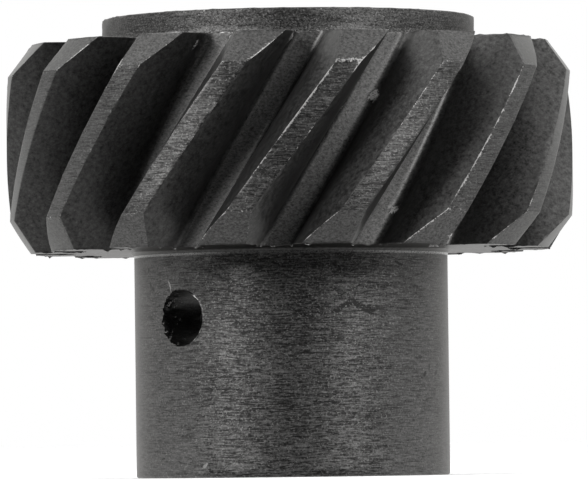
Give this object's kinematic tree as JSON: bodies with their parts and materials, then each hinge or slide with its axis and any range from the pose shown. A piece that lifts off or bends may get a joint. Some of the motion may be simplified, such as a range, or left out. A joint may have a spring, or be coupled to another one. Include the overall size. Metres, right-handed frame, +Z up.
{
  "type": "helical gear",
  "caption": "Steel helical drive gear with a long plain hub, a short boss, a through bore and a cross-pin hole in the hub.",
  "frame": {"origin": "centre of the hub's lower end face, on the bore axis", "axes": "+Z up the bore axis from the hub towards the toothed rim and boss; Y along the cross-pin hole; X completes the frame"},
  "size_m": [0.0324, 0.0324, 0.0263],
  "materials": {
    "black_oxide_steel": "black oxide over machined steel, bare at worn edges"
  },
  "bodies": {
    "root": {"helical_gear": "black_oxide_steel"}
  },
  "joints": []
}
